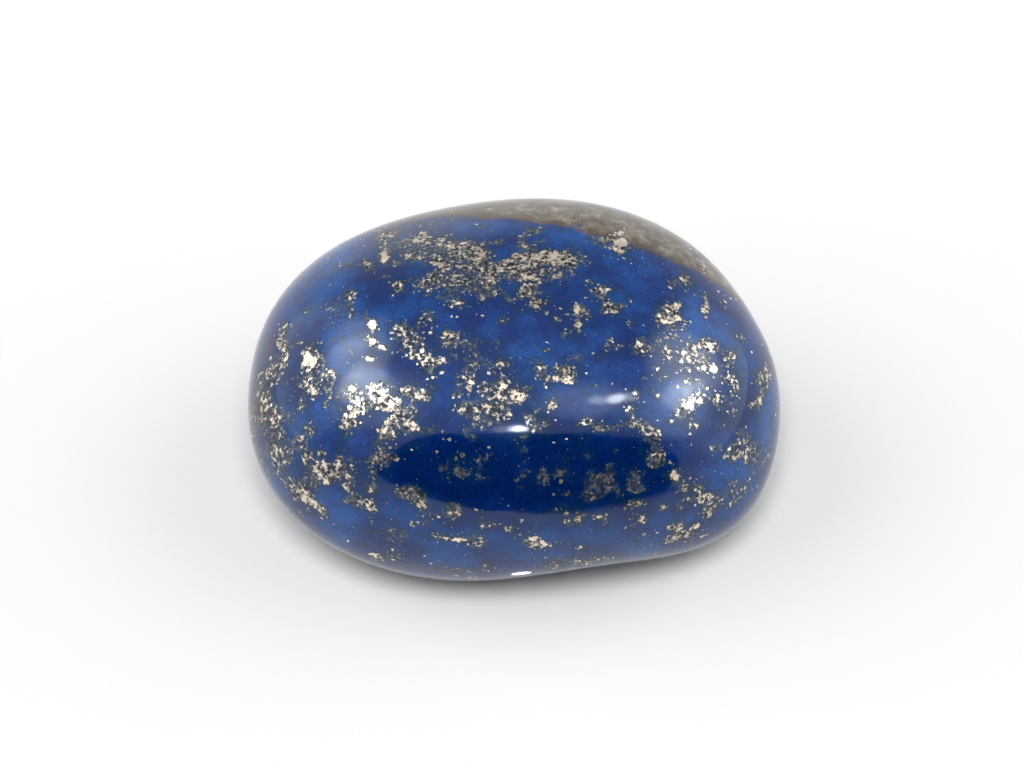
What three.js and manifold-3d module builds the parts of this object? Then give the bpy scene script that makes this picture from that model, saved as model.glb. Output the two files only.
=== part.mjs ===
// A tumbled pebble of lapis lazuli: one polished stone that rests on a small flat spot.
// Millimetres, +Z up, +X along the stone's length, +Y from its front to its back.
// The origin is on the surface that the stone rests on, under the middle of its bounding box.

import * as THREE from "three";
import { mergeVertices } from "three/addons/utils/BufferGeometryUtils.js";
import Module from "manifold-3d";

// Driving dimensions, measured from the heart of the stone.
const HALF_LENGTH = 13.62; // along X
const HALF_DEPTH = 10.8; // along Y
const CROWN_HEIGHT = 7.6; // up to the crown
const BELLY_HEIGHT = 7.5; // down to the belly, before the flat spot is worn
const SQUARENESS = 2.3; // 2 is an ellipsoid, and more is a squarer pebble
const FLAT_SPOT_WEAR = 0.22; // how much of the belly the flat spot has worn away
const FACET_ROWS = 18; // rows of facets along each edge of the icosahedron that the stone grows from

// Tumbling left the stone uneven: each lobe swells it, or hollows it where the height is negative.
// toward points from the heart to the lobe's middle, height is in mm and spread in radians.
const LOBES = {
  rightFrontCorner: { toward: [0.84, -0.42, -0.35], height: 1.52, spread: 0.39 },
  frontRightHollow: { toward: [0.47, -0.66, -0.6], height: -0.62, spread: 0.4 },
  frontLeftBelly: { toward: [-0.42, -0.69, -0.58], height: 0.48, spread: 0.57 },
  leftCorner: { toward: [-0.87, -0.38, -0.32], height: 0.22, spread: 0.5 },
  leftBackShoulder: { toward: [-0.87, 0.38, 0.32], height: -0.52, spread: 0.5 },
  backLeftSlope: { toward: [-0.47, 0.68, 0.57], height: -0.72, spread: 0.48 },
  rightBackShoulder: { toward: [0.82, 0.44, 0.37], height: -0.15, spread: 0.45 },
  rightEnd: { toward: [1, 0, 0], height: 0.55, spread: 0.27 },
  rightShoulderHollow: { toward: [0.94, 0.25, 0.21], height: -0.28, spread: 0.36 },
  backLowBulge: { toward: [-0.45, 0.8, -0.4], height: 0.45, spread: 0.5 },
  rightUnderHollow: { toward: [0.62, 0.1, -0.78], height: -0.45, spread: 0.34 },
  leftUnderHollow: { toward: [-0.6, 0.25, -0.76], height: -0.3, spread: 0.36 },
};

// Distance from the heart to the surface of the plain pebble in a direction, by the superellipsoid's formula.
function plainRadius(direction) {
  const half = [HALF_LENGTH, HALF_DEPTH, direction.z > 0 ? CROWN_HEIGHT : BELLY_HEIGHT];
  const sum = direction
    .toArray()
    .reduce((total, part, axis) => total + Math.abs(part / half[axis]) ** SQUARENESS, 0);
  return sum ** (-1 / SQUARENESS);
}

// What the lobes add to that distance: each fades as a bell curve of the angle from its middle.
function lobeHeight(direction) {
  return Object.values(LOBES).reduce((total, { toward, height, spread }) => {
    const middle = new THREE.Vector3(...toward).normalize();
    const chordSquared = direction.distanceToSquared(middle);
    return total + height * Math.exp(-chordSquared / spread ** 2);
  }, 0);
}

// An icosahedron, divided into small facets, with every corner moved out to the stone's surface.
function pebbleGeometry() {
  const geometry = new THREE.IcosahedronGeometry(1, FACET_ROWS - 1);
  const corners = geometry.getAttribute("position");
  const direction = new THREE.Vector3();
  for (let i = 0; i < corners.count; i++) {
    direction.fromBufferAttribute(corners, i).normalize();
    const radius = plainRadius(direction) + lobeHeight(direction);
    corners.setXYZ(i, ...direction.multiplyScalar(radius).toArray());
  }
  return geometry;
}

function toSolid(wasm, geometry) {
  const bare = geometry.clone();
  bare.deleteAttribute("normal");
  bare.deleteAttribute("uv");
  const merged = mergeVertices(bare, 1e-4);
  const vertProperties = new Float32Array(merged.getAttribute("position").array);
  const triVerts = new Uint32Array(merged.index.array);
  return new wasm.Manifold(new wasm.Mesh({ numProp: 3, vertProperties, triVerts }));
}

function toGeometry(solid) {
  const { vertProperties, triVerts } = solid.getMesh();
  return new THREE.BufferGeometry()
    .setAttribute("position", new THREE.BufferAttribute(new Float32Array(vertProperties), 3))
    .setIndex(new THREE.BufferAttribute(new Uint32Array(triVerts), 1));
}

// The worn spot is cut by a slab that reaches up to it, wider than the stone.
function wearFlatSpot(wasm, stone, wearHeight) {
  const thickness = BELLY_HEIGHT;
  const slab = new THREE.BoxGeometry(4 * HALF_LENGTH, 4 * HALF_DEPTH, thickness);
  slab.translate(0, 0, wearHeight - thickness / 2);
  return stone.subtract(toSolid(wasm, slab));
}

// Sets the stone on the origin's plane, with the middle of its box above the origin.
function setDown(geometry) {
  geometry.computeBoundingBox();
  const { min, max } = geometry.boundingBox;
  geometry.translate(-(min.x + max.x) / 2, -(min.y + max.y) / 2, -min.z);
  geometry.computeVertexNormals();
  return geometry;
}

const wasm = await Module();
wasm.setup();

const wholePebble = pebbleGeometry();
wholePebble.computeBoundingBox();
const wearHeight = wholePebble.boundingBox.min.z + FLAT_SPOT_WEAR;
const wornPebble = wearFlatSpot(wasm, toSolid(wasm, wholePebble), wearHeight);

const lapis = new THREE.MeshStandardMaterial({ color: 0x1f3c86, roughness: 0.12, metalness: 0 });
const stone = new THREE.Mesh(setDown(toGeometry(wornPebble)), lapis);
stone.name = "lapis_stone";

const part = new THREE.Group();
part.add(stone);

export default part;
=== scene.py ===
# A tumbled and polished pebble of lapis lazuli, on a white table inside a white light tent.
import math

import bpy
import numpy as np
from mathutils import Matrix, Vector, noise


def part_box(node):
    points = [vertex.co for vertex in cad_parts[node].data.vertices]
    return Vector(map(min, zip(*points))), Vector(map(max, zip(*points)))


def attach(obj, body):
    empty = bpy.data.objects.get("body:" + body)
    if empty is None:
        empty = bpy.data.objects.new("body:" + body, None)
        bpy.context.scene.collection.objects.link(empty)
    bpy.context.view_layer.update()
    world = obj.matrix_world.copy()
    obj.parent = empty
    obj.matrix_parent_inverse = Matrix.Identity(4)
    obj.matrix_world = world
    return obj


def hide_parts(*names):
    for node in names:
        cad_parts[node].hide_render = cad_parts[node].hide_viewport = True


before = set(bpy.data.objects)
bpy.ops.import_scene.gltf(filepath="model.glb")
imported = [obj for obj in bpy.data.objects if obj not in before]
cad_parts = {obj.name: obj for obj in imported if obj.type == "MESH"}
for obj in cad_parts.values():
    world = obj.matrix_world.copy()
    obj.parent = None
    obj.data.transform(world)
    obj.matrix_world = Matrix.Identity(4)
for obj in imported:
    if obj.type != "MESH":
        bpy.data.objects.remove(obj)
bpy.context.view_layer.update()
mm = 0.001

# The camera looks down on the front of the stone. Pixels count from the frame's top left corner.
viewpoint = {
    "elevation": 50,  # degrees above the table
    "distance": 270 * mm,  # from the heart of the stone
    "heart": Vector((0, 0, 7.3 * mm)),
    "heartAt": (514.44, 384.86),  # pixel that the heart lands on
    "pixelsPerMm": 19.118,  # at the heart
    "frameWide": 1024,
    "frameTall": 768,
    "sensorWide": 36,  # mm
}


def srgb(hexColour):
    channels = [int(hexColour[i:i + 2], 16) / 255 for i in (1, 3, 5)]
    linear = [c / 12.92 if c <= 0.04045 else ((c + 0.055) / 1.055) ** 2.4 for c in channels]
    return (*linear, 1)


# Adds one node. Values in inputs that are sockets are linked, and the others are set.
def addNode(tree, kind, inputs=None, **settings):
    node = tree.nodes.new(kind)
    for name, value in settings.items():
        setattr(node, name, value)
    for socket, value in (inputs or {}).items():
        if isinstance(value, bpy.types.NodeSocket):
            tree.links.new(value, node.inputs[socket])
        else:
            node.inputs[socket].default_value = value
    return node


def viewAxes():
    tilt = math.radians(viewpoint["elevation"])
    right = Vector((1, 0, 0))
    up = Vector((0, math.sin(tilt), math.cos(tilt)))
    back = Vector((0, -math.cos(tilt), math.sin(tilt)))
    return right, up, back


def cameraPlace():
    right, up, back = viewAxes()
    acrossMm = (viewpoint["frameWide"] / 2 - viewpoint["heartAt"][0]) / viewpoint["pixelsPerMm"]
    downMm = (viewpoint["frameTall"] / 2 - viewpoint["heartAt"][1]) / viewpoint["pixelsPerMm"]
    return viewpoint["heart"] + back * viewpoint["distance"] + (right * acrossMm - up * downMm) * mm


# Pixels that an array of points lands on, and how squarely each faces the camera.
def inFrame(points, normals):
    right, up, back = (np.array(axis) for axis in viewAxes())
    towards = points - np.array(cameraPlace())
    depth = -(towards @ back)
    pixels = viewpoint["pixelsPerMm"] / mm * viewpoint["distance"]
    across = viewpoint["frameWide"] / 2 + towards @ right / depth * pixels
    down = viewpoint["frameTall"] / 2 - towards @ up / depth * pixels
    sight = -towards / np.linalg.norm(towards, axis=1)[:, None]
    return across, down, (normals * sight).sum(axis=1)


def makeCamera():
    bpy.ops.object.camera_add(location=cameraPlace())
    camera = bpy.context.object
    camera.name = "tableCamera"
    camera.rotation_euler = (math.radians(90 - viewpoint["elevation"]), 0, 0)
    camera.data.sensor_width = viewpoint["sensorWide"]
    pixelsAtDistance = viewpoint["pixelsPerMm"] * viewpoint["distance"] / mm
    camera.data.lens = viewpoint["sensorWide"] / viewpoint["frameWide"] * pixelsAtDistance
    camera.data.clip_start = 1 * mm
    bpy.context.scene.camera = camera
    print("camera at", tuple(round(v / mm, 1) for v in camera.location), "mm")


# Flecks of pyrite as the camera sees them. Each gives the pixel across and down of its middle, its size
# across and down in mm, its turn in degrees clockwise, and the share of it that is pyrite.
flecks = {
    "crownBand": [
        (455, 258, 6.4, 2.6, 10, 0.46), (535, 263, 4.6, 2.4, 0, 0.45), (412, 246, 3.2, 1.4, -10, 0.43),
        (384.5, 256.5, 0.74, 0.66, -12, 1.0), (367.5, 265, 0.44, 0.46, 0, 0.86),
        (385, 237, 1.2, 0.5, -18, 0.67), (422, 236, 1.2, 0.7, -8, 0.8), (440, 238, 0.55, 0.5, 0, 0.65),
        (411, 256, 1.0, 0.5, -8, 0.67), (437, 262, 1.3, 0.7, 26, 0.76), (470, 250, 2.4, 1.2, 10, 0.71),
        (482, 264, 2.0, 1.2, 12, 0.67), (491, 277, 1.1, 1.0, 20, 0.7), (430, 283, 1.5, 0.9, 12, 0.66),
        (452, 294, 1.4, 1.3, 30, 0.43), (520, 264, 1.9, 1.1, 0, 0.68), (552, 257, 1.9, 1.0, 14, 0.8),
        (549, 277, 0.9, 0.9, 0, 0.49), (523, 288, 0.45, 0.4, 0, 0.71), (397, 287, 0.6, 0.5, 20, 0.65),
        (484, 288, 0.9, 0.8, 0, 0.45), (459, 304, 0.4, 0.3, 0, 0.59), (500, 243, 0.9, 0.5, 0, 0.4),
        (540, 242, 1.2, 0.4, 6, 0.3),
    ],
    "crownSides": [
        (347, 296, 0.55, 0.55, 0, 0.5), (343, 312, 2.0, 2.6, 0, 0.28), (680, 332, 2.2, 1.4, 20, 0.26),
        (351, 311, 0.36, 0.66, 0, 0.55), (426, 317, 0.66, 0.8, 20, 0.5), (502, 321, 0.45, 0.26, 0, 0.6),
        (306, 312, 0.25, 0.25, 0, 0.6), (622, 242.5, 0.86, 0.72, 10, 1.0), (610, 244, 2.2, 0.5, 8, 0.5),
        (700, 262, 1.3, 0.8, 42, 0.5), (537, 305, 1.0, 0.66, -10, 0.76), (521, 312, 0.4, 0.35, -30, 0.6),
        (581, 310, 1.2, 0.85, 24, 0.66), (610, 308, 0.9, 0.75, 16, 0.68), (598, 290, 1.1, 0.45, -8, 0.6),
        (588, 281, 0.2, 0.2, 0, 0.85), (557, 320, 0.5, 0.36, 20, 0.5), (565, 334, 0.24, 0.24, 0, 0.9),
        (630, 324, 0.45, 0.45, 40, 0.55), (665, 317, 1.15, 1.1, 0, 0.72), (684, 278, 0.5, 0.6, 0, 0.76),
        (674, 284, 0.9, 0.8, 0, 0.34), (707, 305, 0.4, 1.1, -6, 0.76), (741, 337, 0.5, 0.55, 0, 0.66),
        (567, 251, 0.2, 0.3, 0, 0.8),
    ],
    "leftShoulder": [
        (309, 361, 0.95, 1.0, -20, 0.96), (318, 366, 0.9, 0.7, -10, 0.5), (307, 383, 0.9, 0.8, 0, 0.6),
        (330, 374, 0.36, 0.66, -40, 0.72), (283, 346, 0.7, 2.0, 4, 0.64), (271, 374, 0.9, 1.6, 8, 0.54),
        (260, 384, 0.6, 1.6, 6, 0.5), (302, 402, 0.4, 0.9, 0, 0.55), (270, 418, 1.9, 3.0, -6, 0.55),
        (266, 398, 0.5, 0.9, 0, 0.6), (279, 454, 1.5, 2.2, -24, 0.56), (298, 444, 0.8, 1.2, -20, 0.48),
        (319, 471, 1.4, 1.5, -10, 0.68), (338, 462, 0.6, 0.9, -14, 0.62), (326, 481, 0.9, 0.7, 20, 0.6),
        (310, 500, 1.8, 0.6, 48, 0.82), (294, 484, 1.6, 1.2, 46, 0.48), (306, 430, 0.5, 0.5, 0, 0.5),
    ],
    "leftShine": [
        (372, 326, 0.42, 0.38, 0, 1.0), (372, 341.5, 0.4, 0.4, 0, 1.0), (382, 347, 0.6, 0.34, 20, 0.95),
        (369.5, 358.5, 0.55, 0.36, 0, 0.95), (350, 352, 0.3, 0.4, 0, 0.53),
        (345, 338, 0.14, 0.14, 0, 0.79), (411, 344, 1.8, 1.7, 0, 0.5), (448, 342, 0.9, 1.0, 20, 0.58),
        (428, 363, 0.75, 0.8, 0, 0.64), (442, 361, 0.75, 0.45, 0, 0.53), (351, 391, 1.2, 0.9, -12, 0.69),
        (360, 406, 1.1, 0.9, 20, 0.67), (349, 421, 0.75, 0.8, 0, 0.76), (380, 388, 1.2, 0.9, 0, 0.72),
        (384, 400, 1.6, 1.4, 0, 0.8), (403, 391, 1.2, 0.6, 24, 0.76), (421, 396, 1.0, 0.8, 0, 0.76),
        (405, 424, 1.5, 0.9, 16, 0.7), (388, 431, 0.8, 0.85, 0, 0.63), (411, 412, 0.9, 0.8, 40, 0.53),
        (340, 408, 0.12, 0.2, 0, 0.79),
    ],
    "heartPatch": [
        (467, 376, 1.1, 1.8, 10, 0.47), (482, 366, 1.6, 1.2, 0, 0.32), (501, 362, 0.45, 0.45, 0, 0.86),
        (470, 407, 1.5, 1.3, 20, 0.61), (495, 400, 2.3, 1.7, -12, 0.6), (517, 397, 1.3, 1.5, 0, 0.69),
        (529, 418, 0.9, 0.8, 0, 0.67), (553, 404, 0.6, 1.4, 26, 0.51), (547, 424, 0.6, 0.5, 0, 0.65),
        (539, 373, 0.66, 0.9, -20, 0.58), (567, 375, 1.2, 1.0, -16, 0.8), (577, 357, 0.7, 0.5, 0, 0.47),
        (495, 342, 0.4, 0.3, 0, 0.37), (547, 350, 0.18, 0.18, 0, 0.84), (508, 414, 0.9, 0.8, 0, 0.47),
        (585, 422, 0.6, 0.4, 0, 0.6), (601, 428, 0.6, 0.4, 0, 0.6), (593, 386, 0.9, 0.16, 0, 0.51),
        (610, 341, 0.4, 0.6, 0, 0.39), (640, 348, 1.2, 0.9, 10, 0.52), (454, 356, 0.8, 0.6, 0, 0.28),
    ],
    "rightShine": [
        (635, 393.5, 0.4, 0.36, 0, 1.0), (703, 351, 2.5, 1.2, -14, 0.62), (696, 362, 1.9, 0.8, -20, 0.5),
        (729, 358, 1.0, 1.1, 20, 0.62), (731, 378, 0.66, 0.75, 0, 0.62), (671, 357, 0.9, 0.8, 0, 0.42),
        (658, 369, 0.26, 0.26, 0, 0.95), (665, 376.5, 0.26, 0.26, 0, 0.95),
        (685, 382, 0.22, 0.22, 0, 0.9), (703, 368, 0.34, 0.34, 0, 1.0), (713, 369, 0.4, 0.4, 0, 1.0),
        (644, 378, 0.5, 0.4, 0, 0.4), (683, 412, 1.1, 1.2, 20, 0.74), (690, 406, 0.36, 0.44, -30, 1.0),
        (697, 425.5, 0.3, 0.26, 0, 1.0), (672, 421, 0.26, 0.26, 0, 0.95), (701, 402, 0.28, 0.28, 0, 0.95),
        (718, 397, 0.5, 0.3, -50, 0.76), (733, 381, 0.4, 0.34, 0, 0.7), (724, 402, 1.9, 1.4, 0, 0.34),
        (645, 428, 1.2, 0.8, 48, 0.58), (762, 391, 0.5, 1.7, 4, 0.52), (754, 404, 0.7, 0.5, 0, 0.55),
        (765, 376, 0.42, 1.5, -6, 0.6), (734, 453, 0.7, 1.25, 18, 0.62), (752, 456, 1.2, 1.8, 14, 0.56),
        (742, 434, 0.8, 0.9, 0, 0.5), (715, 448, 0.6, 0.5, 0, 0.5), (749, 438, 0.6, 0.8, 0, 0.56),
        (716, 424, 1.0, 0.8, 0, 0.3),
    ],
    "frontShade": [
        (463, 473, 1.0, 0.7, 0, 0.5), (442, 469, 0.6, 0.4, 0, 0.33), (486, 455, 1.1, 1.5, 10, 0.25),
        (472, 436, 1.3, 0.7, 14, 0.28), (603, 482, 1.7, 1.1, -12, 0.46), (588, 495, 0.7, 0.5, 0, 0.49),
        (634, 476, 1.3, 1.0, -20, 0.42), (651, 459, 0.7, 0.9, 0, 0.49), (633, 487, 0.9, 0.6, -20, 0.45),
        (544, 479, 0.9, 0.9, 0, 0.36), (559, 473, 0.8, 0.5, -14, 0.49), (524, 468, 0.5, 1.3, 0, 0.28),
        (567, 493, 0.9, 0.4, 0, 0.3), (588, 458, 0.5, 0.3, 30, 0.34), (500, 440, 0.9, 0.5, 0, 0.16),
        (381, 457, 0.9, 0.85, 0, 0.52), (616, 450, 0.16, 0.16, 0, 0.66), (640, 452, 0.14, 0.14, 0, 0.66),
    ],
    "frontSlope": [
        (371, 489, 0.6, 0.6, 0, 0.64), (365, 504, 1.2, 0.85, 20, 0.58), (409, 493, 1.4, 0.7, 18, 0.64),
        (419, 500, 0.7, 0.5, 20, 0.7), (452, 514, 0.8, 0.75, 20, 0.66), (415, 521, 0.7, 0.6, 0, 0.36),
        (393, 531, 1.0, 0.9, 30, 0.36), (444, 538, 1.5, 0.34, 4, 0.64), (477, 541, 1.1, 0.6, 14, 0.54),
        (490, 526, 1.0, 0.5, 0, 0.42), (508, 528, 0.7, 0.6, 0, 0.5), (371, 520, 0.3, 0.5, 0, 0.5),
        (579.5, 518.5, 0.44, 0.62, 8, 1.0), (569, 522, 0.7, 0.5, 0, 0.62),
        (601, 516.5, 0.6, 0.3, -20, 0.9), (606, 522, 0.7, 0.4, 0, 0.4), (635, 503, 0.9, 0.4, 0, 0.55),
        (642, 519, 0.5, 0.5, 0, 0.62), (663.5, 507.5, 0.3, 0.22, -20, 0.9),
        (676, 478, 0.5, 0.8, -20, 0.92), (684, 487, 0.6, 0.6, 0, 0.62), (703, 499, 1.3, 1.0, 0, 0.72),
        (736, 492, 1.6, 1.4, 30, 0.46), (679, 536.5, 1.6, 0.7, -16, 0.78), (688, 540, 0.8, 0.4, 0, 0.5),
        (540, 543, 1.2, 0.7, 0, 0.62), (580, 547, 0.5, 0.18, 0, 0.9), (556, 566, 0.8, 0.4, -14, 0.62),
        (708, 514, 0.34, 0.3, 0, 0.74), (701, 524, 0.3, 0.6, 30, 0.3), (721, 523, 0.4, 0.4, 0, 0.4),
        (477, 560, 0.4, 0.3, 0, 0.3), (485, 569, 0.14, 0.14, 0, 0.8), (379, 557, 0.8, 0.34, 22, 0.6),
        (455, 571, 1.6, 0.4, 6, 0.5), (592, 560, 2.2, 0.3, -8, 0.6), (395, 556, 1.0, 0.5, 20, 0.55),
        (590, 529, 0.6, 0.3, 0, 0.4), (536, 524, 0.5, 0.4, 0, 0.36), (512, 532, 0.3, 0.3, 0, 0.5),
    ],
}

# Rock and brighter or darker blue, given in the same way. The last number is how strongly they show. The
# brighter and darker blue is partly the stone's own clouds and partly painted light and shade: brighter at
# the rims where the side lamps fall, and darker over the front that faces the tent's dark open front.
rock = {
    "leftRim": [(268, 350, 1.4, 3.2, 8, 0.45), (261, 408, 1.6, 4.0, 0, 0.6), (270, 440, 1.4, 2.2, -24, 0.4)],
    "lowRim": [(420, 566, 3.0, 0.6, 14, 0.5), (450, 572, 2.2, 0.4, 6, 0.6), (590, 562, 2.2, 0.4, -6, 0.5)],
    "topRim": [(392, 232, 2.6, 0.8, -16, 0.5), (424, 211, 8.0, 1.1, -13, 0.9)],
}

blues = {
    # partly the stone's brighter clouds and partly painted light, most of all at the rims
    "bright": [
        (328, 262, 5.2, 3.2, -38, 0.8), (318, 306, 4.6, 4.2, 0, 0.5), (398, 308, 2.2, 1.8, 0, 0.3),
        (530, 229, 9.0, 1.0, 4, 0.6), (640, 282, 6.0, 3.4, 10, 0.25), (704, 328, 4.0, 2.6, 30, 0.5),
        (440, 392, 2.0, 2.0, 0, 0.5), (324, 408, 2.4, 2.4, 0, 0.5), (664, 392, 2.2, 1.8, 0, 0.5),
        (504, 450, 1.8, 1.0, 0, 0.5), (560, 446, 1.4, 1.2, 0, 0.5), (644, 545, 2.2, 1.1, -8, 0.7),
        (352, 518, 2.0, 1.2, 30, 0.5), (358, 450, 3.4, 3.0, 0, 0.6), (590, 340, 2.4, 1.6, 0, 0.15),
        (615, 446, 2.0, 0.9, 0, 0.4), (338, 322, 4.4, 5.0, 0, 0.4), (690, 330, 4.4, 3.6, 20, 0.5),
        (340, 515, 4.4, 2.8, 34, 0.8), (500, 550, 17.0, 2.6, 0, 0.5), (276, 478, 2.6, 4.0, -30, 0.9),
        (732, 476, 3.6, 5.4, 22, 1.2), (772, 420, 2.2, 5.6, 0, 0.9), (664, 536, 5.2, 2.2, -14, 0.5),
    ],
    # partly the stone's darker clouds and partly painted shade, most of all the broad patch over the front
    "darkerBlueAndPaintedShade": [
        (490, 312, 3.6, 2.0, 0, 0.6), (592, 322, 2.4, 1.8, 0, 0.4), (560, 330, 4.0, 3.0, 0, 0.4),
        (620, 350, 2.6, 1.6, 0, 0.5), (736, 430, 2.4, 3.2, 0, 0.5), (530, 468, 19.0, 5.6, 2, 1.6),
        (420, 462, 5.0, 3.0, 0, 0.7), (606, 450, 5.0, 2.2, 0, 0.5), (640, 474, 5.0, 3.4, 0, 0.4),
        (470, 345, 2.4, 2.0, 0, 0.5), (520, 520, 8.0, 1.6, 2, 0.3), (600, 400, 3.0, 1.0, 0, 0.3),
    ],
}

stoneShape = {
    "firstCuts": 15,  # the cube's edges are cut twice, into 128 pieces in all
    "secondCuts": 7,
    "smoothing": 60,  # passes, enough to take out the CAD node's facets
    "waveMm": 3.4,  # broad waves that tumbling left in the polish
    "waveHeightMm": 0.03,
    "rippleMm": 1.1,
    "rippleHeightMm": 0.006,
}


# Edges of 0.1 to 0.2 mm, so that the polish shows no facets.
def makePebble():
    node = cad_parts["lapis_stone"]
    low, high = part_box("lapis_stone")
    middle = (low + high) / 2

    bpy.ops.object.select_all(action="DESELECT")
    target = node.copy()
    target.data = node.data.copy()
    bpy.context.collection.objects.link(target)
    bpy.context.view_layer.objects.active = target
    target.select_set(True)
    bpy.ops.object.mode_set(mode="EDIT")
    bpy.ops.mesh.select_all(action="SELECT")
    bpy.ops.mesh.remove_doubles(threshold=0.001 * mm)
    bpy.ops.object.mode_set(mode="OBJECT")

    bpy.ops.object.select_all(action="DESELECT")
    bpy.ops.mesh.primitive_cube_add(size=2, location=(0, 0, 0))
    stone = bpy.context.object
    stone.name = "tumbled_lapis"
    bpy.ops.object.mode_set(mode="EDIT")
    bpy.ops.mesh.select_all(action="SELECT")
    bpy.ops.mesh.subdivide(number_cuts=stoneShape["firstCuts"])
    bpy.ops.mesh.subdivide(number_cuts=stoneShape["secondCuts"])
    bpy.ops.transform.tosphere(value=1)
    bpy.ops.object.mode_set(mode="OBJECT")
    radius = stone.data.vertices[0].co.length
    stone.scale = [half / radius for half in (high - low) / 2]
    stone.location = middle
    bpy.ops.object.transform_apply(location=True, rotation=True, scale=True)

    wrap = stone.modifiers.new("fitToCad", "SHRINKWRAP")
    wrap.target = target
    wrap.wrap_method = "NEAREST_SURFACEPOINT"
    smooth = stone.modifiers.new("polishFacets", "SMOOTH")
    smooth.factor = 0.5
    smooth.iterations = stoneShape["smoothing"]
    for kind in ("wave", "ripple"):
        texture = bpy.data.textures.new(kind, "CLOUDS")
        texture.noise_scale = stoneShape[kind + "Mm"] * mm
        uneven = stone.modifiers.new(kind, "DISPLACE")
        uneven.texture = texture
        uneven.texture_coords = "LOCAL"
        uneven.mid_level = 0.5
        uneven.strength = stoneShape[kind + "HeightMm"] * mm
    for modifier in ("fitToCad", "polishFacets", "wave", "ripple"):
        bpy.ops.object.modifier_apply(modifier=modifier)
    bpy.data.objects.remove(target)
    bpy.ops.object.shade_smooth()
    print("pebble with", len(stone.data.polygons), "faces")
    return stone


def meshArrays(stone):
    mesh = stone.data
    points = np.empty(len(mesh.vertices) * 3)
    mesh.vertices.foreach_get("co", points)
    normals = np.empty(len(mesh.vertices) * 3)
    mesh.vertices.foreach_get("normal", normals)
    return points.reshape(-1, 3), normals.reshape(-1, 3)


patchEdges = {
    "full": 0.5,  # share of a patch's half size inside which it has its whole share of pyrite
    "none": 1.5,
    "hazeFull": 0.7,  # the dark haze round a patch
    "hazeNone": 2.2,
    "hazeMm": 0.25,  # how far it reaches past the patch at least
    "hazeMore": 1.3,  # and how much stronger it is than the patch
    "softFull": 0.2,  # rock and blues fade from their middle
    "softNone": 1.3,
    "ragged": ((1.3, 1.0), (0.5, 0.7)),  # size in mm and strength of the noise that makes patches ragged
    "raggedRange": (0.4, 2.2),
    "flakeShare": 0.95,  # a patch with this much pyrite is one flake, with a less ragged edge
    "flakeRagged": 0.7,
    "seenFacing": 0.02,  # vertices that face the camera less squarely than this are hidden
}

# The hidden sides get patches by chance, as many to the area as the seen ones.
hiddenSide = {
    "seed": 11,
    "facing": 0.05,  # their middles face the camera less squarely than this
    "pyritePatches": 190,
    "sizeChance": (-0.35, 0.55),  # middle and spread of the logarithm of a patch's size in mm
    "sizeMm": (0.25, 2.4),
    "share": (0.35, 0.9),
    "flatness": 2.5,  # each is drawn out across a direction of its own
    "bluePatches": 60,
    "blueMm": (1.0, 3.5),
    "blueShare": (-0.5, 0.7),
}


# 1 up to full, 0 beyond none, and a smooth slope between them.
def fade(value, full, none):
    t = np.clip((value - none) / (full - none), 0, 1)
    return t * t * (3 - 2 * t)


def fadeSoftly(reach):
    return fade(reach, patchEdges["softFull"], patchEdges["softNone"])


# How far each vertex is from a patch's middle, in half sizes of the patch.
def reachOf(across, down, x, y, wide, tall, turn):
    halfPixels = viewpoint["pixelsPerMm"] / 2
    turn = math.radians(turn)
    along = (across - x) * math.cos(turn) + (down - y) * math.sin(turn)
    cross = (down - y) * math.cos(turn) - (across - x) * math.sin(turn)
    return np.hypot(along / (wide * halfPixels), cross / (tall * halfPixels))


# How much further each vertex seems from the middle of a patch, so that no patch is round.
def raggedness(points):
    stretch = np.ones(len(points))
    for sizeMm, strength in patchEdges["ragged"]:
        scaled = points / (sizeMm * mm)
        stretch += strength * np.array([noise.noise(point) for point in scaled.tolist()])
    return np.clip(stretch, *patchEdges["raggedRange"])


# Lays a patch over a layer, where it is stronger than what is there.
def layOver(layers, name, patch, where):
    layers[name] = np.maximum(layers[name], np.where(where, patch, 0))


def paintSeenSide(layers, across, down, ragged, seen):
    for group in flecks.values():
        for x, y, wide, tall, turn, share in group:
            power = 1 if share < patchEdges["flakeShare"] else patchEdges["flakeRagged"]
            reach = reachOf(across, down, x, y, wide, tall, turn) * ragged ** power
            patch = share * fade(reach, patchEdges["full"], patchEdges["none"])
            layOver(layers, "pyrite", patch, seen)
            reach = reach / (1 + patchEdges["hazeMm"] / max(wide, tall))
            strength = min(1, share * patchEdges["hazeMore"])
            patch = strength * fade(reach, patchEdges["hazeFull"], patchEdges["hazeNone"])
            layOver(layers, "haze", patch, seen)
    for group in rock.values():
        for x, y, wide, tall, turn, share in group:
            reach = reachOf(across, down, x, y, wide, tall, turn)
            layOver(layers, "rock", share * fadeSoftly(reach), seen)
    # brighter and darker blue, partly painted light and shade
    for sign, group in ((1, blues["bright"]), (-1, blues["darkerBlueAndPaintedShade"])):
        for x, y, wide, tall, turn, share in group:
            reach = reachOf(across, down, x, y, wide, tall, turn)
            layers["blueToneAndPaintedLight"] += sign * share * fadeSoftly(reach) * seen


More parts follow.
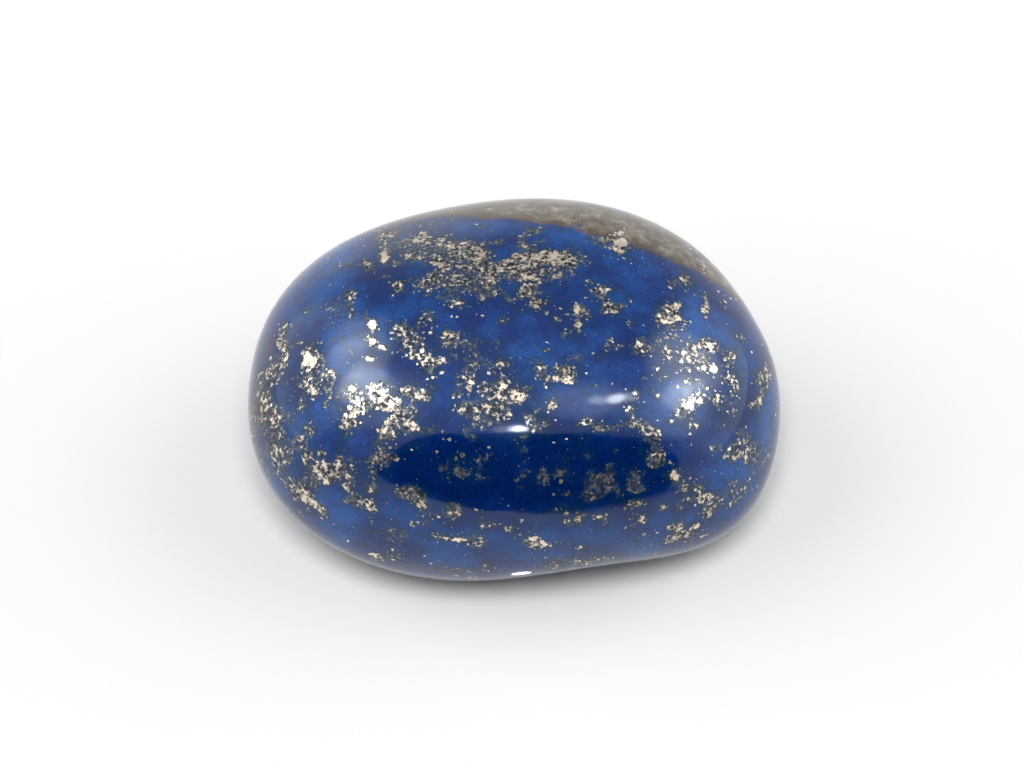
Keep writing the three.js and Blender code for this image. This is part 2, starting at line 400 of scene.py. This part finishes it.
def paintHiddenSide(layers, points, facing, ragged, seen):
    chance = np.random.default_rng(hiddenSide["seed"])
    hidden = np.flatnonzero(facing < hiddenSide["facing"])
    for centre in chance.choice(hidden, hiddenSide["pyritePatches"], replace=False):
        sizeMm = float(np.clip(chance.lognormal(*hiddenSide["sizeChance"]), *hiddenSide["sizeMm"]))
        share = float(chance.uniform(*hiddenSide["share"]))
        grain = chance.normal(size=3)
        grain /= np.linalg.norm(grain)
        away = points - points[centre]
        distance = np.sqrt((away ** 2).sum(axis=1) + hiddenSide["flatness"] * (away @ grain) ** 2)
        reach = distance / (sizeMm * mm / 2) * ragged
        patch = share * fade(reach, patchEdges["full"], patchEdges["none"])
        layOver(layers, "pyrite", patch, ~seen)
        patch = share * fade(reach, patchEdges["hazeFull"], patchEdges["hazeNone"])
        layOver(layers, "haze", patch, ~seen)
    for centre in chance.choice(hidden, hiddenSide["bluePatches"], replace=False):
        size = float(chance.uniform(*hiddenSide["blueMm"])) * mm
        share = float(chance.uniform(*hiddenSide["blueShare"]))
        reach = np.linalg.norm(points - points[centre], axis=1) / size
        layers["blueToneAndPaintedLight"] += share * fadeSoftly(reach) * ~seen


# Each vertex gets its share of pyrite, haze, rock and brighter or darker blue, the last partly painted light
# and shade, which the material reads.
def paintPatches(stone):
    points, normals = meshArrays(stone)
    across, down, facing = inFrame(points, normals)
    ragged = raggedness(points)
    seen = facing > patchEdges["seenFacing"]
    layers = {name: np.zeros(len(points)) for name in ("pyrite", "haze", "rock", "blueToneAndPaintedLight")}
    paintSeenSide(layers, across, down, ragged, seen)
    paintHiddenSide(layers, points, facing, ragged, seen)
    for name, values in layers.items():
        layer = stone.data.attributes.new(name, "FLOAT", "POINT")
        layer.data.foreach_set("value", values.astype(np.float32))
    print("pyrite on", int((layers["pyrite"] > 0.3).sum()), "of", len(points), "vertices")


# Lapis lazuli, tumbled and polished: a deep cloudy blue under a smooth gloss that shows every lamp.
lapis = {
    # where each blue stands in the clouds of lazurite, from the darkest to the brightest
    "blues": [(0.22, "#001139"), (0.46, "#011B4C"), (0.61, "#042C60"), (0.82, "#073D78")],
    "cloudMm": 2.2,
    # the patches of brighter and darker blue are partly painted light and shade
    "patchStrength": 0.2,  # how far a patch of brighter blue lifts the clouds
    "grainMm": 0.13,  # real grains are often finer, and these are as coarse as it takes to show them
    "grainLight": (0.6, 1.3),  # how dark and how bright the grains are
    "dustPerMm": 3.2,  # how finely the pyrite dust in the blue comes and goes
    "haze": "#051F2E",
    "hazeMost": 0.65,
    "dustInHaze": 1.5,  # how much the dust breaks up the haze round a patch
    "hazeSpan": (0.95, 1.75),  # what haze and dust reach together where it starts and where it is full
    "polish": 0.09,
    "polishTint": "#EDF8FF",
    "ior": 1.5,
}

# Pyrite, cut level with the stone by the polish: pale brass-grey metal with dull dark rims, whose grains each
# catch the light in their own way.
pyrite = {
    # by its level, from the dull rims of the web to bright grains
    "tones": [
        (0.25, "#26323A"), (0.5, "#494B4C"), (0.8, "#827C75"), (1.1, "#AFA59A"),
        (1.4, "#D3C6B7"), (1.8, "#EDE1D2"),
    ],
    "slate": "#54595B",  # what is too fine to see as grains
    "slateMost": 0.85,
    "dustInSlate": 1.4,
    "slateSpan": (0.95, 1.5),
    "slateLight": (0.35, 1.7),
    "patchMm": 0.5,  # how coarsely a patch breaks up
    "patchStart": (0.02, 0.25),  # shares of pyrite between which its web comes in
    "clumps": 0.9,  # how much more pyrite there is in the middle of a clump
    "webMm": 0.19,  # width of the threads in it
    "webSpan": (1.215, 1.455),  # what the threads' sum has to reach for the first and for the last of them
    "webLevel": 1.6,
    "flakeSpan": (0.9, 0.98),  # the share above which a patch is a whole flake
    "flakeLevel": 1.55,
    "raggedMm": 0.16,
    "raggedBy": 0.25,
    "speckledMm": 2.5,  # size of the areas with more or fewer lone specks
    "speckled": (0.08, 0.4),  # and how many those have
    "specksInRock": -0.25,
    # size in mm, largest radius in cells, how much chance takes off it, and the darkest and brightest level
    "grains": {
        "coarse": (0.42, 0.6, 0.95, 1.0, 1.7),
        "middling": (0.26, 0.52, 0.75, 0.7, 1.6),
        "dust": (0.13, 0.55, 0.9, 0.4, 1.3),
        "speck": (0.33, 1.0, 0.75, 0.7, 1.8),
        "sparkle": (0.15, 1.0, 1.3, 0.5, 1.5),
    },
    "grainEdgeMm": 0.02,
    "coverSpan": (0.25, 0.5),  # levels between which pyrite hides the stone
    "metalSpan": (0.35, 0.8),  # and shines as metal
    "grainShades": (0.72, 1.3),
    "grainTilt": 0.2,
    "roughness": 0.4,
}

# The stone's back is the host rock that the lapis grew in, behind a nearly flat boundary: sandy grey, and
# browner where it meets the blue.
hostRock = {
    "sands": [(0.36, "#3C3025"), (0.51, "#514A41"), (0.7, "#7D7467")],
    "sandPerMm": 1.3,
    "towards": (0.267, 0.941, 0.209),
    "distanceMm": 8.09,  # from the origin to the boundary
    "thickMm": 2.1,  # islands of lapis show behind it
    "islandMm": 3.6,
    "islandSpan": (0.69, 0.72),
    "islandsInside": (0.8, 0.15),  # in how many mm they come in, and how many more of them there are then
    "wanderMm": 1.3,
    "wanderHeightMm": 1.1,
    "edgeMm": 0.3,
    "brownMm": 0.9,
    "brownBy": 0.16,
    "dustInPatch": 1.6,  # lone patches of rock at the front, broken up by the dust
    "patchSpan": (1.1, 1.45),
    "patchMost": 0.9,
}


def fillRamp(ramp, stops):
    while len(ramp.color_ramp.elements) < len(stops):
        ramp.color_ramp.elements.new(0.5)
    for element, (position, colour) in zip(ramp.color_ramp.elements, stops):
        element.position = position
        element.color = srgb(colour)


# Lazurite in clouds of darker and brighter blue, made of fine grains. The patches of brighter and darker blue
# on the vertices shift the clouds, and are partly painted light and shade.
def blueGround(tree, place, share):
    clouds = addNode(tree, "ShaderNodeTexNoise", {
        "Vector": place, "Scale": 1 / lapis["cloudMm"], "Detail": 6, "Roughness": 0.62,
    }).outputs["Fac"]
    clouds = addNode(tree, "ShaderNodeMath", {
        0: share["blueToneAndPaintedLight"], 1: lapis["patchStrength"], 2: clouds,
    }, operation="MULTIPLY_ADD").outputs[0]
    blueToneAndPaintedLight = addNode(tree, "ShaderNodeValToRGB", {"Fac": clouds})
    fillRamp(blueToneAndPaintedLight, lapis["blues"])
    grains = addNode(tree, "ShaderNodeTexNoise", {
        "Vector": place, "Scale": 1 / lapis["grainMm"], "Detail": 2, "Roughness": 0.7,
    }).outputs["Fac"]
    darkest, brightest = lapis["grainLight"]
    light = addNode(tree, "ShaderNodeMapRange", {
        "Value": grains, "From Min": 0.3, "From Max": 0.7, "To Min": darkest, "To Max": brightest,
    }).outputs[0]
    ground = addNode(tree, "ShaderNodeVectorMath", {0: blueToneAndPaintedLight.outputs[0], "Scale": light}, operation="SCALE")
    return ground.outputs[0]


# Coordinates that noise has shifted a little, so that no thread or grain has a smooth edge.
def raggedPlace(tree, place):
    shift = addNode(tree, "ShaderNodeTexNoise", {
        "Vector": place, "Scale": 1 / pyrite["raggedMm"], "Detail": 2,
    }).outputs["Color"]
    shift = addNode(tree, "ShaderNodeVectorMath", {0: shift, 1: (-0.5, -0.5, -0.5)}, operation="ADD")
    shift = addNode(tree, "ShaderNodeVectorMath", {
        0: shift.outputs[0], "Scale": pyrite["raggedBy"],
    }, operation="SCALE").outputs[0]
    return addNode(tree, "ShaderNodeVectorMath", {0: place, 1: shift}, operation="ADD").outputs[0]


# A patch of pyrite is a ragged web, where noise rises above what the patch's share leaves out.
def pyriteWeb(tree, place, ragged, share):
    clumps = addNode(tree, "ShaderNodeTexNoise", {
        "Vector": place, "Scale": 1 / pyrite["patchMm"], "Detail": 2, "Roughness": 0.55,
    }).outputs["Fac"]
    threads = addNode(tree, "ShaderNodeTexNoise", {
        "Vector": ragged, "Scale": 1 / pyrite["webMm"], "Detail": 1, "Roughness": 0.5,
    }).outputs["Fac"]
    height = addNode(tree, "ShaderNodeMath", {
        0: clumps, 1: pyrite["clumps"], 2: threads,
    }, operation="MULTIPLY_ADD").outputs[0]
    height = addNode(tree, "ShaderNodeMath", {
        0: share["pyrite"], 1: 0.5, 2: height,
    }, operation="MULTIPLY_ADD").outputs[0]
    first, last = pyrite["webSpan"]
    height = addNode(tree, "ShaderNodeMapRange", {
        "Value": height, "From Min": first, "From Max": last, "To Min": 0, "To Max": pyrite["webLevel"],
    }).outputs[0]
    first, last = pyrite["patchStart"]
    inPatch = addNode(tree, "ShaderNodeMapRange", {
        "Value": share["pyrite"], "From Min": first, "From Max": last, "To Min": 0, "To Max": 1,
    }).outputs[0]
    height = addNode(tree, "ShaderNodeMath", {0: height, 1: inPatch}, operation="MULTIPLY").outputs[0]

    # whole flakes, where a patch is nearly all pyrite
    flake = addNode(tree, "ShaderNodeMath", {
        0: threads, 1: 0.25, 2: share["pyrite"],
    }, operation="MULTIPLY_ADD").outputs[0]
    first, last = pyrite["flakeSpan"]
    flake = addNode(tree, "ShaderNodeMapRange", {
        "Value": flake, "From Min": first, "From Max": last, "To Min": 0, "To Max": pyrite["flakeLevel"],
    }).outputs[0]
    height = addNode(tree, "ShaderNodeMath", {0: height, 1: flake}, operation="MAXIMUM").outputs[0]
    return threads, height


# How far a point lies behind the rock's boundary, and how much of it is rock.
def rockCover(tree, place, dust, share):
    along = addNode(tree, "ShaderNodeVectorMath", {
        0: place, 1: hostRock["towards"],
    }, operation="DOT_PRODUCT").outputs["Value"]
    wander = addNode(tree, "ShaderNodeTexNoise", {
        "Vector": place, "Scale": 1 / hostRock["wanderMm"], "Detail": 4, "Roughness": 0.6,
    }).outputs["Fac"]
    depth = addNode(tree, "ShaderNodeMath", {
        0: wander, 1: hostRock["wanderHeightMm"], 2: along,
    }, operation="MULTIPLY_ADD").outputs[0]
    start = hostRock["distanceMm"] + hostRock["wanderHeightMm"] / 2
    front = addNode(tree, "ShaderNodeMapRange", {
        "Value": depth, "From Min": start, "From Max": start + hostRock["edgeMm"], "To Min": 0, "To Max": 1,
    }).outputs[0]

    islands = addNode(tree, "ShaderNodeTexNoise", {
        "Vector": place, "Scale": 1 / hostRock["islandMm"], "Detail": 5, "Roughness": 0.6,
    }).outputs["Fac"]
    end = start + hostRock["thickMm"]
    overMm, more = hostRock["islandsInside"]
    deep = addNode(tree, "ShaderNodeMapRange", {
        "Value": depth, "From Min": end, "From Max": end + overMm, "To Min": 0, "To Max": more,
    }).outputs[0]
    islands = addNode(tree, "ShaderNodeMath", {0: islands, 1: deep}, operation="ADD").outputs[0]
    first, last = hostRock["islandSpan"]
    solid = addNode(tree, "ShaderNodeMapRange", {
        "Value": islands, "From Min": first, "From Max": last, "To Min": 1, "To Max": 0,
    }).outputs[0]
    back = addNode(tree, "ShaderNodeMath", {0: front, 1: solid}, operation="MINIMUM").outputs[0]

    patchy = addNode(tree, "ShaderNodeMath", {
        0: dust, 1: hostRock["dustInPatch"], 2: share["rock"],
    }, operation="MULTIPLY_ADD").outputs[0]
    first, last = hostRock["patchSpan"]
    patchy = addNode(tree, "ShaderNodeMapRange", {
        "Value": patchy, "From Min": first, "From Max": last, "To Min": 0, "To Max": hostRock["patchMost"],
    }).outputs[0]
    cover = addNode(tree, "ShaderNodeMath", {0: back, 1: patchy}, operation="MAXIMUM").outputs[0]
    return depth, cover


# Rounder grains: each cell shows one where the cell's own chance is under the share there. Returns the level
# of pyrite with them, and the colour that each cell has by chance.
def pyriteGrains(tree, place, ragged, share, inRock, height):
    speckled = addNode(tree, "ShaderNodeTexNoise", {
        "Vector": place, "Scale": 1 / pyrite["speckledMm"],
    }).outputs["Fac"]
    fewest, most = pyrite["speckled"]
    speckled = addNode(tree, "ShaderNodeMapRange", {
        "Value": speckled, "From Min": 0.35, "From Max": 0.65, "To Min": fewest, "To Max": most,
    }).outputs[0]
    speckled = addNode(tree, "ShaderNodeMath", {
        0: inRock, 1: pyrite["specksInRock"], 2: speckled,
    }, operation="MULTIPLY_ADD").outputs[0]
    wanted = {
        "coarse": share["pyrite"], "middling": share["haze"], "dust": share["haze"],
        "speck": speckled, "sparkle": speckled,
    }
    for name, (sizeMm, fill, spend, dim, bright) in pyrite["grains"].items():
        cells = addNode(tree, "ShaderNodeTexVoronoi", {"Vector": ragged, "Scale": 1 / sizeMm})
        chances = addNode(tree, "ShaderNodeSeparateColor", {0: cells.outputs["Color"]})
        radius = addNode(tree, "ShaderNodeMath", {0: wanted[name], 1: fill}, operation="MULTIPLY").outputs[0]
        spent = addNode(tree, "ShaderNodeMath", {
            0: chances.outputs[0], 1: spend,
        }, operation="MULTIPLY").outputs[0]
        radius = addNode(tree, "ShaderNodeMath", {0: radius, 1: spent}, operation="SUBTRACT").outputs[0]
        inside = addNode(tree, "ShaderNodeMath", {
            0: radius, 1: cells.outputs["Distance"],
        }, operation="SUBTRACT").outputs[0]
        edge = pyrite["grainEdgeMm"] / sizeMm
        inside = addNode(tree, "ShaderNodeMapRange", {
            "Value": inside, "From Min": 0, "From Max": edge, "To Min": 0, "To Max": 1,
        }).outputs[0]
        level = addNode(tree, "ShaderNodeMapRange", {
            "Value": chances.outputs[1], "To Min": dim, "To Max": bright,
        }).outputs[0]
        level = addNode(tree, "ShaderNodeMath", {0: inside, 1: level}, operation="MULTIPLY").outputs[0]
        height = addNode(tree, "ShaderNodeMath", {0: height, 1: level}, operation="MAXIMUM").outputs[0]
        if name == "middling":
            cut = cells.outputs["Color"]
    return height, cut


# Fine dust of pyrite darkens the blue round a patch, and fills the patch itself with slate grey.
def dustOver(tree, ground, dust, threads, share):
    haze = addNode(tree, "ShaderNodeMath", {
        0: dust, 1: lapis["dustInHaze"], 2: share["haze"],
    }, operation="MULTIPLY_ADD").outputs[0]
    first, last = lapis["hazeSpan"]
    haze = addNode(tree, "ShaderNodeMapRange", {
        "Value": haze, "From Min": first, "From Max": last, "To Min": 0, "To Max": lapis["hazeMost"],
    }).outputs[0]
    ground = addNode(tree, "ShaderNodeMix", {
        "Factor": haze, "A": ground, "B": srgb(lapis["haze"]),
    }, data_type="RGBA").outputs["Result"]

    slate = addNode(tree, "ShaderNodeMath", {
        0: dust, 1: pyrite["dustInSlate"], 2: share["pyrite"],
    }, operation="MULTIPLY_ADD").outputs[0]
    first, last = pyrite["slateSpan"]
    slate = addNode(tree, "ShaderNodeMapRange", {
        "Value": slate, "From Min": first, "From Max": last, "To Min": 0, "To Max": pyrite["slateMost"],
    }).outputs[0]
    darkest, brightest = pyrite["slateLight"]
    light = addNode(tree, "ShaderNodeMapRange", {
        "Value": threads, "From Min": 0.4, "From Max": 0.62, "To Min": darkest, "To Max": brightest,
    }).outputs[0]
    colour = addNode(tree, "ShaderNodeVectorMath", {
        0: srgb(pyrite["slate"])[:3], "Scale": light,
    }, operation="SCALE").outputs[0]
    ground = addNode(tree, "ShaderNodeMix", {
        "Factor": slate, "A": ground, "B": colour,
    }, data_type="RGBA").outputs["Result"]
    return ground, slate


def rockColour(tree, place, depth):
    sand = addNode(tree, "ShaderNodeTexNoise", {
        "Vector": place, "Scale": hostRock["sandPerMm"], "Detail": 6, "Roughness": 0.7,
    }).outputs["Fac"]
    start = hostRock["distanceMm"] + hostRock["wanderHeightMm"] / 2
    inner = addNode(tree, "ShaderNodeMapRange", {
        "Value": depth, "From Min": start, "From Max": start + hostRock["brownMm"],
        "To Min": -hostRock["brownBy"], "To Max": 0,
    }).outputs[0]
    sand = addNode(tree, "ShaderNodeMath", {0: sand, 1: inner}, operation="ADD").outputs[0]
    sand = addNode(tree, "ShaderNodeValToRGB", {"Fac": sand})
    fillRamp(sand, hostRock["sands"])
    return sand.outputs[0]


# Pyrite from its dull rims to its bright middles, each grain a little lighter or darker.
def pyriteColour(tree, height, cut):
    tone = addNode(tree, "ShaderNodeMath", {0: height, 1: 0.5}, operation="MULTIPLY").outputs[0]
    tone = addNode(tree, "ShaderNodeValToRGB", {"Fac": tone})
    fillRamp(tone, [(level / 2, colour) for level, colour in pyrite["tones"]])
    shade = addNode(tree, "ShaderNodeSeparateColor", {0: cut}).outputs[2]
    darkest, brightest = pyrite["grainShades"]
    shade = addNode(tree, "ShaderNodeMapRange", {
        "Value": shade, "To Min": darkest, "To Max": brightest,
    }).outputs[0]
    tone = addNode(tree, "ShaderNodeVectorMath", {0: tone.outputs[0], "Scale": shade}, operation="SCALE")
    return tone.outputs[0]


# Each grain of pyrite is cut at its own angle, so some catch the light and some don't.
def tiltedNormal(tree, cut, metal):
    tilt = addNode(tree, "ShaderNodeVectorMath", {0: cut, 1: (-0.5, -0.5, -0.5)}, operation="ADD").outputs[0]
    for strength in (pyrite["grainTilt"], metal):
        tilt = addNode(tree, "ShaderNodeVectorMath", {
            0: tilt, "Scale": strength,
        }, operation="SCALE").outputs[0]
    normal = addNode(tree, "ShaderNodeNewGeometry").outputs["Normal"]
    normal = addNode(tree, "ShaderNodeVectorMath", {0: normal, 1: tilt}, operation="ADD").outputs[0]
    return addNode(tree, "ShaderNodeVectorMath", {0: normal}, operation="NORMALIZE").outputs[0]


def makeLapis():
    material = bpy.data.materials.new("tumbledLapisLazuli")
    material.use_nodes = True
    tree = material.node_tree
    tree.nodes.clear()

    # places in mm, and what is painted on the vertices
    place = addNode(tree, "ShaderNodeTexCoord").outputs["Object"]
    place = addNode(tree, "ShaderNodeVectorMath", {0: place, "Scale": 1 / mm}, operation="SCALE").outputs[0]
    share = {
        name: addNode(tree, "ShaderNodeAttribute", attribute_name=name).outputs["Fac"]
        for name in ("pyrite", "haze", "rock", "blueToneAndPaintedLight")
    }
    ragged = raggedPlace(tree, place)
    dust = addNode(tree, "ShaderNodeTexNoise", {
        "Vector": place, "Scale": lapis["dustPerMm"], "Detail": 5, "Roughness": 0.7,
    }).outputs["Fac"]

    threads, height = pyriteWeb(tree, place, ragged, share)
    depth, inRock = rockCover(tree, place, dust, share)
    height, cut = pyriteGrains(tree, place, ragged, share, inRock, height)
    ground = blueGround(tree, place, share)
    ground, slate = dustOver(tree, ground, dust, threads, share)
    ground = addNode(tree, "ShaderNodeMix", {
        "Factor": inRock, "A": ground, "B": rockColour(tree, place, depth),
    }, data_type="RGBA").outputs["Result"]

    # pyrite over all of it
    first, last = pyrite["coverSpan"]
    cover = addNode(tree, "ShaderNodeMapRange", {
        "Value": height, "From Min": first, "From Max": last, "To Min": 0, "To Max": 1,
    }).outputs[0]
    colour = addNode(tree, "ShaderNodeMix", {
        "Factor": cover, "A": ground, "B": pyriteColour(tree, height, cut),
    }, data_type="RGBA").outputs["Result"]
    first, last = pyrite["metalSpan"]
    metal = addNode(tree, "ShaderNodeMapRange", {
        "Value": height, "From Min": first, "From Max": last, "To Min": 0, "To Max": 1,
    }).outputs[0]
    metal = addNode(tree, "ShaderNodeMath", {0: slate, 1: metal}, operation="MAXIMUM").outputs[0]
    roughness = addNode(tree, "ShaderNodeMapRange", {
        "Value": cover, "To Min": lapis["polish"], "To Max": pyrite["roughness"],
    }).outputs[0]
    shader = addNode(tree, "ShaderNodeBsdfPrincipled", {
        "Base Color": colour, "Metallic": metal, "Roughness": roughness, "IOR": lapis["ior"],
        "Specular Tint": srgb(lapis["polishTint"]), "Normal": tiltedNormal(tree, cut, metal),
    })
    addNode(tree, "ShaderNodeOutputMaterial", {"Surface": shader.outputs[0]})
    print("lapis lazuli made of", len(tree.nodes), "nodes")
    return material


tent = {
    "wall": 0.6,  # how bright the white walls are
    "skirt": 0.6,  # and how much the table brightens them towards it
    "skirtHigh": 0.4,  # sine of the elevation where that ends
    "frontDark": (8, 24, 42, 0.85),  # azimuth, elevation, half width in degrees and depth of the open front
    # what shines through the walls: azimuth from the front towards the right, elevation and half width in
    # degrees, share of the width at full strength, and strength
    "lamps": {
        "keyGlintLow": (3, 61.6, 1.1, 0.7, 90),
        "keyGlintHigh": (3, 63.0, 1.1, 0.7, 90),
        "keyGlow": (-35, 70, 60, 0.3, 0.5),
        "left": (-82, 56, 24, 0, 1.7),
        "leftCore": (-98, 54, 13, 0, 7.6),
        "leftHot": (-82, 61, 6, 0, 2.5),
        "leftHigh": (-124, 47, 15, 0, 4.3),
        "leftMiddle": (-113, 55, 9, 0, 2.6),
        "leftTail": (-136, 40, 13, 0, 2.4),
        "leftLow": (-110, 20, 38, 0.8, 0.9),
        "right": (102, 21, 42, 0.7, 1.0),
        "rightGlow": (114, 37, 21, 0, 4.0),
        "rightCore": (92, 41, 12, 0, 7.0),
        "rightSide": (82, 41, 25, 0, 2.0),
        "rightStreakLow": (103, 33, 4, 0.2, 4.5),
        "rightStreak": (97, 39, 4, 0.2, 4.5),
        "rightHigh": (62, 72, 14, 0, 2.0),
        "highStreakLeft": (69, 70.4, 3.2, 0.3, 7),
        "highStreak": (76.5, 65.8, 3.4, 0.5, 25),
        "highStreakRight": (81, 62.0, 3.4, 0.3, 7),
    },
}


def towards(azimuth, elevation):
    azimuth, elevation = math.radians(azimuth), math.radians(elevation)
    return (
        math.sin(azimuth) * math.cos(elevation),
        -math.cos(azimuth) * math.cos(elevation),
        math.sin(elevation),
    )


def makeTent():
    world = bpy.data.worlds.new("lightTent")
    bpy.context.scene.world = world
    world.use_nodes = True
    tree = world.node_tree
    tree.nodes.clear()
    direction = addNode(tree, "ShaderNodeTexCoord").outputs["Generated"]

    azimuth, elevation, halfWidth, depth = tent["frontDark"]
    nearness = addNode(tree, "ShaderNodeVectorMath", {
        0: direction, 1: towards(azimuth, elevation),
    }, operation="DOT_PRODUCT").outputs["Value"]
    light = addNode(tree, "ShaderNodeMapRange", {
        "Value": nearness, "From Min": math.cos(math.radians(halfWidth)), "From Max": 1,
        "To Min": tent["wall"], "To Max": tent["wall"] * (1 - depth),
    }, interpolation_type="SMOOTHSTEP").outputs[0]
    height = addNode(tree, "ShaderNodeSeparateXYZ", {0: direction}).outputs["Z"]
    skirt = addNode(tree, "ShaderNodeMapRange", {
        "Value": height, "From Min": 0, "From Max": tent["skirtHigh"], "To Min": tent["skirt"], "To Max": 0,
    }).outputs[0]
    light = addNode(tree, "ShaderNodeMath", {0: light, 1: skirt}, operation="ADD").outputs[0]

    for azimuth, elevation, halfWidth, core, strength in tent["lamps"].values():
        nearness = addNode(tree, "ShaderNodeVectorMath", {
            0: direction, 1: towards(azimuth, elevation),
        }, operation="DOT_PRODUCT").outputs["Value"]
        glow = addNode(tree, "ShaderNodeMapRange", {
            "Value": nearness, "From Min": math.cos(math.radians(halfWidth)),
            "From Max": math.cos(math.radians(halfWidth * core)), "To Min": 0, "To Max": strength,
        }, interpolation_type="SMOOTHSTEP").outputs[0]
        light = addNode(tree, "ShaderNodeMath", {0: glow, 1: light}, operation="ADD").outputs[0]
    background = addNode(tree, "ShaderNodeBackground", {"Strength": light})
    addNode(tree, "ShaderNodeOutputWorld", {"Surface": background.outputs[0]})
    world.cycles_visibility.diffuse = False  # matt surfaces get their light from the suns
    print("tent with", len(tent["lamps"]), "lamps")


# What the tent sheds on matt surfaces: azimuth, elevation and width in degrees, and strength.
suns = {
    "keyLamp": (-1, 62, 20, 4.3),
    "leftWall": (-85, 37, 60, 2.5),
    "rightWall": (92, 37, 60, 2.1),
    "ceiling": (0, 90, 180, 0.95),
}


def makeSuns():
    for name, (azimuth, elevation, width, strength) in suns.items():
        turned = (math.radians(90 - elevation), 0, math.radians(azimuth))
        bpy.ops.object.light_add(type="SUN", rotation=turned)
        sun = bpy.context.object
        sun.name = name
        sun.data.angle = math.radians(width)
        sun.data.energy = strength
        sun.visible_glossy = False
    print("suns:", ", ".join(suns))


table = {"size": 2400 * mm, "colour": "#AEAEAE", "drop": 0.02 * mm}  # drop keeps it clear of the flat spot


def makeTable():
    # matt white paint shows no lamp, only the stone's soft shadow
    white = bpy.data.materials.new("mattWhitePaint")
    white.use_nodes = True
    shader = white.node_tree.nodes["Principled BSDF"]
    shader.inputs["Base Color"].default_value = srgb(table["colour"])
    shader.inputs["Roughness"].default_value = 1
    shader.inputs["Specular IOR Level"].default_value = 0
    bpy.ops.mesh.primitive_plane_add(size=table["size"], location=(0, 0, -table["drop"]))
    floor = bpy.context.object
    floor.name = "whiteTable"
    floor.data.materials.append(white)
    print("table at", -table["drop"] / mm, "mm")


# What only the polish shows: the unlit room beyond the tent's open front, a painted shade for the darkness
# that it casts over the table, and a painted reflection of the key lamp as the table mirrors it under the
# stone's front edge.
openFront = {
    "colour": "#19191C",
    "distance": 48 * mm,  # how far it stands from the stone
    # its corners: to the right and up, in mm
    "corners": [(-44, 26), (-34, 68), (-18, 83), (38, 77), (61, 57), (65, 28), (47, 0), (0, 0)],
    "roundMm": 7,
    "roundSegments": 6,
    "tableShade": ((0, 47), (18, 34)),  # left and right end of the darkness in mm, far from the stone and near it
    "tableShadeReach": 24 * mm,  # how far it reaches over the table
    "tableShadeLift": 0.1 * mm,
    "lampAt": (0.55, -9.8, 0.05),  # the mirrored lamp's place in mm, and half its size
    "lampHalf": (0.55, 0.45),
    "lampSides": 24,
    "lampColour": "#FFFFFF",
    "lampStrength": 7,
}


def darkRoom():
    black = bpy.data.materials.new("unlitRoom")
    black.use_nodes = True
    tree = black.node_tree
    shader = tree.nodes["Principled BSDF"]
    shader.inputs["Base Color"].default_value = srgb(openFront["colour"])
    shader.inputs["Roughness"].default_value = 1
    shader.inputs["Specular IOR Level"].default_value = 0
    # it fades towards the stone: the painted shade on the table is darkest at the open front and gone near
    # the stone
    place = addNode(tree, "ShaderNodeTexCoord").outputs["Object"]
    depth = addNode(tree, "ShaderNodeSeparateXYZ", {0: place}).outputs["Y"]
    far, near = -openFront["distance"], openFront["tableShadeReach"] - openFront["distance"]
    solid = addNode(tree, "ShaderNodeMapRange", {
        "Value": depth, "From Min": far, "From Max": near, "To Min": 1, "To Max": 0,
    }, interpolation_type="SMOOTHSTEP").outputs[0]
    tree.links.new(solid, shader.inputs["Alpha"])
    return black


def makeOpenFront(black):
    corners = openFront["corners"]
    bpy.ops.mesh.primitive_circle_add(vertices=len(corners), radius=1, fill_type="NGON", location=(0, 0, 0))
    opening = bpy.context.object
    opening.name = "openFront"
    for vertex, (across, up) in zip(opening.data.vertices, corners):
        vertex.co = (across * mm, -openFront["distance"], up * mm)
    rounded = opening.modifiers.new("rounded", "BEVEL")
    rounded.affect = "VERTICES"
    rounded.width = openFront["roundMm"] * mm
    rounded.segments = openFront["roundSegments"]
    bpy.ops.object.modifier_apply(modifier="rounded")
    opening.data.materials.append(black)
    return opening


# painted shade: a dark sheet on the table that only the polish shows, for the darkness that the open front
# casts over the table
def makeTableShade(black):
    bpy.ops.mesh.primitive_plane_add(size=1, location=(0, 0, 0))
    tableShade = bpy.context.object
    tableShade.name = "openFrontTableShade"
    for vertex in tableShade.data.vertices:
        isNear = vertex.co.y > 0
        left, right = openFront["tableShade"][isNear]
        across = right if vertex.co.x > 0 else left
        reach = openFront["tableShadeReach"] if isNear else 0
        vertex.co = (across * mm, reach - openFront["distance"], openFront["tableShadeLift"])
    tableShade.data.materials.append(black)
    return tableShade


# painted reflection: a glowing disc, no lamp, that only the polish shows, standing in for the key lamp's
# image in the table
def makeLampImage():
    lit = bpy.data.materials.new("keyLampImage")
    lit.use_nodes = True
    shader = lit.node_tree.nodes["Principled BSDF"]
    shader.inputs["Emission Color"].default_value = srgb(openFront["lampColour"])
    shader.inputs["Emission Strength"].default_value = openFront["lampStrength"]
    bpy.ops.mesh.primitive_circle_add(
        vertices=openFront["lampSides"], radius=1 * mm, fill_type="NGON",
        location=[at * mm for at in openFront["lampAt"]],
    )
    image = bpy.context.object
    image.name = "keyLampImage"
    image.scale = (*openFront["lampHalf"], 1)
    bpy.ops.object.transform_apply(location=True, rotation=True, scale=True)
    image.data.materials.append(lit)
    return image


def makeMirrored():
    black = darkRoom()
    for piece in (makeOpenFront(black), makeTableShade(black), makeLampImage()):
        for way in ("camera", "diffuse", "shadow", "transmission", "volume_scatter"):
            setattr(piece, "visible_" + way, False)
        print("only the polish shows", piece.name)


makeCamera()
stone = makePebble()
paintPatches(stone)
stone.data.materials.append(makeLapis())
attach(stone, "root")
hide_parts("lapis_stone")
makeTent()
makeSuns()
makeTable()
makeMirrored()
bpy.context.scene.view_settings.view_transform = "Standard"
